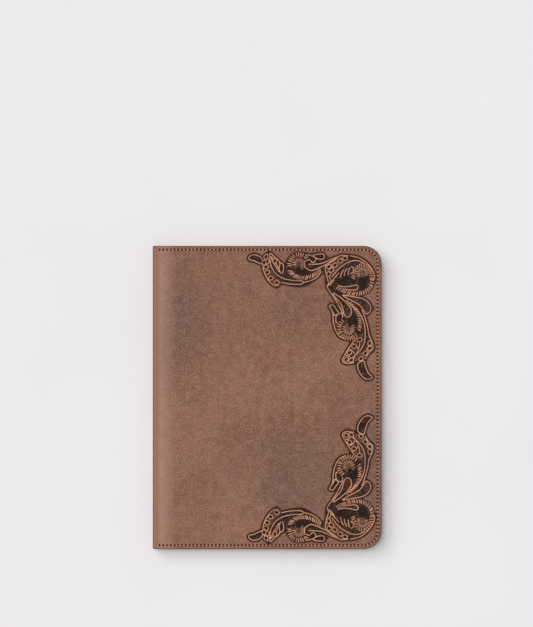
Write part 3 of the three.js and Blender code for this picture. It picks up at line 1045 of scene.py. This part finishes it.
def make_board(name):
    board = new_block((book_x0, -book_y, top_z - board_low), (book_x1, book_y, top_z - board_low), "plane")
    round_corners(board, board_corner, 10, lambda v: v.co.x > book_x1 - 0.1 * mm)
    rule_lines(board, [book_x0 + tape_lap - 0.3 * mm, book_x0 + tape_lap])
    thicken(board, board_high - board_low)
    round_rim(board, 0.2 * mm, 3)
    x, y, z = points_of(board)
    sunk = (x > book_x0 + tape_lap - 0.1 * mm) & (z > top_z - board_low - 0.3 * mm)
    move_points(board, x, y, z - 0.08 * mm * sunk)
    return settle(board, name)


front_board = make_board("notebook_front_cover")
back_board = turn_over(make_board("notebook_back_cover"))
place(front_board, "notebook_front", "notebook_front_board", slot_name="notebook_board")
place(back_board, "notebook_back", "notebook_back_board", slot_name="notebook_board")

# %% Spine tape
tape = new_block(*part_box("notebook_spine_tape"))
edit(tape)
choose(tape, "EDGE", lambda e: abs(e.verts[0].co.y - e.verts[1].co.y) > 1 * mm)
bpy.ops.mesh.bevel(offset=0.19 * mm, segments=3, affect="EDGES")
leave_edit()
settle(tape, "notebook_spine_cloth")
place(tape, "notebook_spine", "notebook_spine_tape", slot_name="spine_tape")

# %% [markdown]
# ## The leaves
# Eighty to a hundred sheets are sewn through the fold and trimmed. From the side they show as a stack of
# thin lines that never end at quite the same place. The block is a cube ruled into forty layers. Each layer
# is moved in or out by a little, and the block is thinner where the sleeves and the card pockets are.

# %% Page block
page_low, page_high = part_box("page_block")
layers = 40
wedge_start, wedge_end = sleeve_x - 62 * mm, sleeve_x - 2 * mm
thin_low, thin_high = sleeve_high + 0.2 * mm, pocket_z - patch_thickness - 0.45 * mm
pages = new_block(page_low, page_high)
edit(pages)
choose(pages, "EDGE", lambda e: all(v.co.x > 0 for v in e.verts)
       and abs(e.verts[0].co.z - e.verts[1].co.z) > 1 * mm)
bpy.ops.mesh.bevel(offset=page_corner, segments=8, affect="EDGES")
leave_edit()
rule_lines(pages, along_x=[wedge_start + (wedge_end - wedge_start) * t for t in np.linspace(0, 1, 13)],
           along_z=[page_low.z + (page_high.z - page_low.z) * k / layers for k in range(1, layers)])
x, y, z = points_of(pages)
t = (z - page_low.z) / (page_high.z - page_low.z)
level = np.rint(t * layers).astype(int)
rng = np.random.default_rng(5)
shift = rng.normal(0, 0.09, (layers + 1, 2)) * mm - (np.arange(layers + 1) % 2)[:, None] * 0.16 * mm
shift = np.clip(shift, -0.4 * mm, 0)
taper = smooth_step((x - wedge_start) / (wedge_end - wedge_start))
low = page_low.z + (thin_low - page_low.z) * taper
high = page_high.z + (thin_high - page_high.z) * taper
fore_side = smooth_step((x - page_high.x + page_corner) / page_corner)
move_points(pages, x + shift[level, 0] * fore_side, y + shift[level, 1] * np.sign(y), low + (high - low) * t)
paint(pages, "leaf", level / layers)
settle(pages, "leaves", angle=20)
place(pages, "notebook_back", "page_block", slot_name="paper")
print("leaves: layers of", round((page_high.z - page_low.z) / layers / mm, 2), "mm")

# %% [markdown]
# ## Finishes
# Every finish is built from noise and from the values painted on the points, in object coordinates, so it
# stays with its piece when the cover opens. A few short helpers keep the node trees readable.

# %% Node helpers
def rgb(r, g, b):
    """A display colour as the linear numbers that a shader takes."""
    linear = [(c / 255 / 12.92) if c <= 10 else ((c / 255 + 0.055) / 1.055) ** 2.4 for c in (r, g, b)]
    return (*linear, 1.0)


def add(kind, inputs, **settings):
    """Add a node to the current tree, with each input linked or set."""
    made = tree.nodes.new("ShaderNode" + kind)
    for key, value in settings.items():
        setattr(made, key, value)
    for key, value in inputs.items():
        if isinstance(value, bpy.types.NodeSocket):
            tree.links.new(value, made.inputs[key])
        else:
            made.inputs[key].default_value = value
    return made


def start_finish(name):
    """Begin a material. Until the next one begins, the helpers add their nodes to its tree."""
    global tree
    material = bpy.data.materials.new(name)
    material.use_nodes = True
    tree = material.node_tree
    return material, add("TexCoord", {}).outputs["Object"], tree.nodes["Principled BSDF"]


def noise(where, scale, detail=3.0, roughness=0.55, stretch=(1, 1, 1), turn=0.0):
    spot = add("Mapping", {"Vector": where, "Scale": stretch, "Rotation": (0, 0, turn)}).outputs[0]
    return add("TexNoise", {
        "Vector": spot, "Scale": scale, "Detail": detail, "Roughness": roughness}).outputs["Fac"]


def spread(value, low, high, to_low=0.0, to_high=1.0):
    """Stretch a value's range from low..high, and hold it there."""
    return add("MapRange", {
        "Value": value, "From Min": low, "From Max": high, "To Min": to_low, "To Max": to_high},
    ).outputs[0]


def times(a, b, operation="MULTIPLY"):
    return add("Math", {0: a, 1: b}, operation=operation).outputs[0]


def mix(amount, a, b):
    return add("Mix", {0: amount, 6: a, 7: b}, data_type="RGBA").outputs[2]


def tint(colour, value, low, high, amount, shade):
    """Draw a colour toward a shade as a value goes from low to high."""
    return mix(spread(value, low, high, 0, amount), colour, shade)


def distance_from(where, letter, place):
    """How far a place is from a plane across one axis."""
    gap = times(axis(where, letter), place, "SUBTRACT")
    return add("Math", {0: gap}, operation="ABSOLUTE").outputs[0]


def painted(name):
    return add("Attribute", {}, attribute_name=name).outputs["Fac"]


def axis(where, letter):
    return add("SeparateXYZ", {0: where}).outputs[letter]


def bump(shader, height, strength, distance):
    made = add("Bump", {"Height": height, "Strength": strength, "Distance": distance})
    tree.links.new(made.outputs[0], shader.inputs["Normal"])


def finish_with(shader, colour, roughness, **others):
    tree.links.new(colour, shader.inputs["Base Color"])
    tree.links.new(roughness, shader.inputs["Roughness"])
    for key, value in others.items():
        shader.inputs[key.replace("_", " ")].default_value = value


def wear(material, *pieces):
    for piece in pieces:
        piece.data.materials.clear()
        piece.data.materials.append(material)


# %% [markdown]
# ## Oiled leather
# The cover's leather is matt, with a fine pebbled grain. Its wax moves where it is bent, so it turns
# orange-brown on the fold; beside the fold a lighter band is a painted highlight, and the spine's edge is
# darkened with painted shade. It shows cloudy, darker patches where hands have been. The painted values add
# dark paste in the low parts of the tooling, with painted shade in the band round the tooled shapes, rubbed
# crests, burnished cut edges, and painted shade in the seam's groove, the crease beside the fold and the
# stitch holes.

# %% Leather finish
def leather_finish(name, light, dark, tan, seed, fold_wear_highlight_shade=True):
    material, where, shader = start_finish(name)
    moved = add("Mapping", {"Vector": where, "Location": (seed, seed * 0.7, 0)}).outputs[0]
    cloud = spread(noise(moved, 11, 4, 0.6), 0.38, 0.66)
    colour = mix(cloud, light, dark)
    smoke = noise(moved, 8.5, 5, 0.62, stretch=(1.5, 0.8, 1))
    fleck, mottle = noise(moved, 760, 4, 0.75), noise(moved, 170, 3, 0.6)
    for value, low, high, amount, shade in (
        (noise(moved, 42, 3, 0.6), 0.5, 0.72, 0.3, rgb(104, 72, 62)),
        (noise(moved, 23, 2, 0.5), 0.56, 0.75, 0.35, rgb(158, 103, 78)),
        (smoke, 0.48, 0.68, 0.7, rgb(104, 80, 72)),
        (fleck, 0.5, 0.32, 0.58, rgb(84, 55, 44)),
        (fleck, 0.5, 0.68, 0.56, rgb(194, 152, 127)),
        (mottle, 0.5, 0.68, 0.27, rgb(108, 74, 62)),
        (mottle, 0.5, 0.32, 0.19, rgb(172, 132, 112)),
    ):
        colour = tint(colour, value, low, high, amount, shade)
    streak = noise(moved, 95, 2, 0.5, stretch=(5, 0.45, 1), turn=0.75)
    streak = times(spread(streak, 0.69, 0.76), spread(cloud, 0.3, 0.8))
    colour = mix(times(streak, 0.5), colour, rgb(92, 62, 52))
    if fold_wear_highlight_shade:
        along = axis(where, "X")
        # Painted highlight: the leather 8 to 21 mm from the spine is made lighter, where light catches the
        # front's slope towards the fold.
        colour = tint(colour, along, spine_x + 21 * mm, spine_x + 8 * mm, 0.42, rgb(186, 150, 134))
        turned = spread(along, spine_x + 5.5 * mm, spine_x + 2.5 * mm)
        from_middle = distance_from(where, "Z", middle_z)
        bent = spread(from_middle, middle_z - 6 * mm, middle_z - 2.5 * mm, 0.15, 0.7)
        colour = mix(times(turned, bent), colour, rgb(154, 100, 72))
        # Painted shade: a dark line along the spine's edge, where the wall of the fold turns away from the
        # light.
        rim = spread(along, spine_x + 1.3 * mm, spine_x + 0.3 * mm)
        rim = times(rim, spread(from_middle, middle_z - 7 * mm, middle_z - 2 * mm))
        colour = mix(times(rim, 0.7), colour, rgb(92, 56, 38))
    paste_and_shade_at, rubbed_at = painted("paste_and_shade"), painted("rubbed")
    # Painted shade in the seam's groove and in the crease beside the fold.
    colour = mix(times(painted("groove"), 0.3), colour, rgb(118, 66, 40))
    # Paste darkens the tooling's low parts; in the band round the tooled shapes this darkening is painted
    # shade.
    colour = tint(colour, paste_and_shade_at, 0.0, 0.3, 0.55, rgb(140, 84, 60))
    colour = tint(colour, paste_and_shade_at, 0.03, 0.88, 1.0, rgb(30, 14, 6))
    handled = spread(noise(moved, 110, 3, 0.6), 0.34, 0.66, 0.5, 1.05)
    colour = mix(times(spread(rubbed_at, 0.12, 0.85), handled), colour, tan)
    # Painted shade: the stitch holes are darkened to near black.
    colour = tint(colour, painted("hole"), 0.06, 0.42, 1.0, rgb(50, 14, 2))
    colour = mix(times(painted("cut"), 0.85), colour, rgb(70, 44, 32))
    pebble = add("TexVoronoi", {"Vector": moved, "Scale": 1150.0}, feature="SMOOTH_F1").outputs[0]
    height = times(pebble, noise(moved, 2600, 3, 0.6), "ADD")
    height = times(height, times(noise(moved, 240, 3, 0.55), 0.8), "ADD")
    bump(shader, height, 0.55, 0.00016)
    matt = spread(noise(moved, 60, 3), 0.3, 0.7, 0.60, 0.78)
    matt = times(matt, times(rubbed_at, 0.16), "SUBTRACT")
    finish_with(shader, colour, matt, Specular_IOR_Level=0.2, Sheen_Weight=0.03)
    return material


wear(leather_finish("oiled_leather", rgb(144, 102, 83), rgb(126, 87, 69), rgb(236, 174, 138), 0.0),
     front, back)
wear(leather_finish("oiled_sleeve_leather", rgb(138, 101, 84), rgb(120, 86, 72), rgb(180, 130, 100), 0.7,
                    fold_wear_highlight_shade=False), front_sleeve, back_sleeve, *pockets)


def paint_cut_edge(piece):
    """Mark the burnished rim: the points at the very edge of the outline, all round the thickness."""
    x, y, z = points_of(piece)
    corner = np.hypot(np.maximum(x - fore_x + corner_radius, 0),
                      np.maximum(np.abs(y) - head_y + corner_radius, 0))
    from_edge = np.minimum(np.minimum(fore_x - x, head_y - np.abs(y)), corner_radius - corner)
    paint(piece, "cut", 1 - smooth_step(from_edge / (1.15 * mm)))


for piece in (front, back, front_sleeve, back_sleeve):
    paint_cut_edge(piece)

# %% [markdown]
# ## Lining, thread, board, cloth and paper
# The lining is a thin suede, softer and lighter than the cover. The thread is waxed linen with a twist that
# shows as slanting lines. The board is dyed pressboard with short fibres and a strip of book cloth along
# the spine. The leaves are ruled, cream paper, a little darker at their trimmed edges.

# %% Suede lining
material, where, shader = start_finish("suede_lining")
nap = spread(noise(where, 16, 4, 0.6), 0.35, 0.68)
colour = mix(nap, rgb(171, 137, 108), rgb(150, 117, 90))
hair = noise(where, 850, 3, 0.7)
colour = tint(colour, hair, 0.4, 0.66, 0.4, rgb(124, 94, 71))
colour = tint(colour, noise(where, 55, 3, 0.55), 0.52, 0.72, 0.3, rgb(186, 155, 128))
bump(shader, times(hair, noise(where, 2400, 2, 0.6), "ADD"), 0.5, 0.00014)
finish_with(shader, colour, spread(nap, 0, 1, 0.82, 0.93), Specular_IOR_Level=0.2, Sheen_Weight=0.2)
wear(material, front_lining, back_lining)

# %% Waxed thread
material, where, shader = start_finish("waxed_thread")
ply = add("TexWave", {"Vector": where, "Scale": 900.0, "Distortion": 1.2, "Detail": 1.0},
          bands_direction="DIAGONAL").outputs["Fac"]
age = spread(noise(where, 130, 3, 0.6), 0.35, 0.68)
colour = mix(age, rgb(238, 172, 130), rgb(212, 146, 106))
colour = tint(colour, ply, 0.5, 0.0, 0.45, rgb(108, 70, 48))
colour = tint(colour, noise(where, 33, 2, 0.5), 0.52, 0.7, 0.3, rgb(126, 84, 60))
bump(shader, ply, 0.6, 0.00012)
finish_with(shader, colour, spread(age, 0, 1, 0.46, 0.62), Specular_IOR_Level=0.4)
wear(material, *(piece for piece in bpy.data.objects if "stitches" in piece.name))

# %% Pressboard with a strip of cloth, and the cloth of the spine
def weave_height(where, scale=620.0):
    warp = add("TexWave", {"Vector": where, "Scale": scale}, bands_direction="X").outputs["Fac"]
    weft = add("TexWave", {"Vector": where, "Scale": scale}, bands_direction="Y").outputs["Fac"]
    return times(warp, weft, "MAXIMUM")


def board_finish(name, all_cloth=False):
    material, where, shader = start_finish(name)
    fibre = noise(where, 260, 4, 0.65, stretch=(1, 3.2, 1), turn=0.4)
    colour = mix(spread(fibre, 0.4, 0.62), rgb(48, 52, 50), rgb(70, 75, 71))
    colour = tint(colour, noise(where, 30, 5, 0.7), 0.56, 0.7, 0.35, rgb(112, 114, 106))
    weave = weave_height(where)
    cloth = mix(weave, rgb(22, 21, 22), rgb(52, 50, 50))
    cloth = tint(cloth, noise(where, 45, 3), 0.5, 0.7, 0.3, rgb(84, 80, 76))
    if all_cloth:
        strip = add("Value", {}).outputs[0]
        strip.default_value = 1.0
    else:
        edge = book_x0 + tape_lap - 0.15 * mm
        strip = spread(axis(where, "X"), edge, edge - 0.05 * mm)
    colour = mix(strip, colour, cloth)
    height = add("Mix", {0: strip, 2: fibre, 3: weave}, data_type="FLOAT").outputs[0]
    bump(shader, height, 0.5, 0.00015)
    finish_with(shader, colour, spread(fibre, 0.3, 0.7, 0.55, 0.75), Specular_IOR_Level=0.35)
    return material


wear(board_finish("pressboard"), front_board, back_board)
wear(board_finish("spine_cloth", all_cloth=True), tape)

# %% Ruled paper
material, where, shader = start_finish("ruled_paper")
pulp = noise(where, 900, 4, 0.6)
colour = mix(spread(pulp, 0.35, 0.7), rgb(240, 234, 218), rgb(232, 224, 205))
leaf = painted("leaf")
edge_lines = noise(where, 1.0, 2, 0.6, stretch=(9, 9, 5200))
trimmed = spread(leaf, 0.985, 0.97)
aged = spread(edge_lines, 0.35, 0.65, 0.05, 0.6)
colour = mix(times(trimmed, aged), colour, rgb(196, 183, 157))
ruling = 7.1 * mm
row = times(times(axis(where, "Y"), 40 * ruling, "ADD"), 1 / ruling)
ruled = spread(times(row, 1.0, "MODULO"), 0.07, 0.045)
ruled = times(ruled, spread(axis(where, "Y"), head_y - 30 * mm, head_y - 30.1 * mm))
top_only = spread(leaf, 0.985, 0.995)
colour = mix(times(times(ruled, top_only), 0.75), colour, rgb(150, 178, 202))
margin = spread(distance_from(where, "X", page_low.x + 32 * mm), 0.3 * mm, 0.15 * mm)
margin = times(margin, top_only)
colour = mix(times(margin, 0.7), colour, rgb(206, 128, 124))
bump(shader, times(pulp, times(edge_lines, trimmed), "ADD"), 0.35, 0.0001)
finish_with(shader, colour, spread(pulp, 0.3, 0.7, 0.8, 0.92), Specular_IOR_Level=0.2)
wear(material, pages)
print("finishes:", sorted(m.name for m in bpy.data.materials if m.users))

# %% [markdown]
# ## Camera, floor and light
# The cover lies closed on a pale table. The camera looks straight down through a long lens, from a point
# beyond the cover's head, so the cover lies low in the frame. A broad sun stands at the upper left, a
# smaller one almost overhead, and the world fills the shadows.

# %% Camera
camera_height = 2.2
view_height = 0.5447
bpy.ops.object.camera_add(location=(-0.5 * mm, 73 * mm, camera_height))
camera = bpy.context.object
camera.data.sensor_width = 36
camera.data.lens = camera.data.sensor_width * (camera_height - top_z) / view_height
camera.data.clip_start = 0.01
bpy.context.scene.camera = camera
print("lens, mm:", round(camera.data.lens, 1))

# %% Floor and lights
bpy.ops.mesh.primitive_plane_add(size=40, location=(0, 0, -0.1 * mm))
floor = bpy.context.object
floor.name = "floor"
material, where, shader = start_finish("pale_table")
tone = mix(spread(noise(where, 6, 3), 0.3, 0.7), rgb(241, 239, 240), rgb(238, 236, 237))
finish_with(shader, tone, spread(noise(where, 30, 2), 0.3, 0.7, 0.85, 0.95), Specular_IOR_Level=0.1)
wear(material, floor)
floor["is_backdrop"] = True

for place_at, energy, degrees, direction, tone in (
    ((-1, 1, 1.6), 1.36, 46, (0.56, -0.42, -1.0), (1.0, 0.985, 0.97)),
    ((-0.2, 0.2, 2), 0.92, 20, (0.10, -0.10, -1.0), (1.0, 1.0, 1.0)),
):
    bpy.ops.object.light_add(type="SUN", location=place_at)
    light = bpy.context.object
    light.data.energy, light.data.angle, light.data.color = energy, math.radians(degrees), tone
    light.rotation_euler = Vector(direction).to_track_quat("-Z", "Y").to_euler()

world = bpy.data.worlds.new("studio")
bpy.context.scene.world = world
world.use_nodes = True
sky = world.node_tree.nodes["Background"].inputs
sky["Color"].default_value, sky["Strength"].default_value = (0.97, 0.98, 1.0, 1), 0.34
bpy.context.scene.view_settings.view_transform = "Standard"

# %% Sizes and finish
low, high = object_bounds()
print("dressed, mm:", [round(c / mm, 2) for c in (*low, *high)])
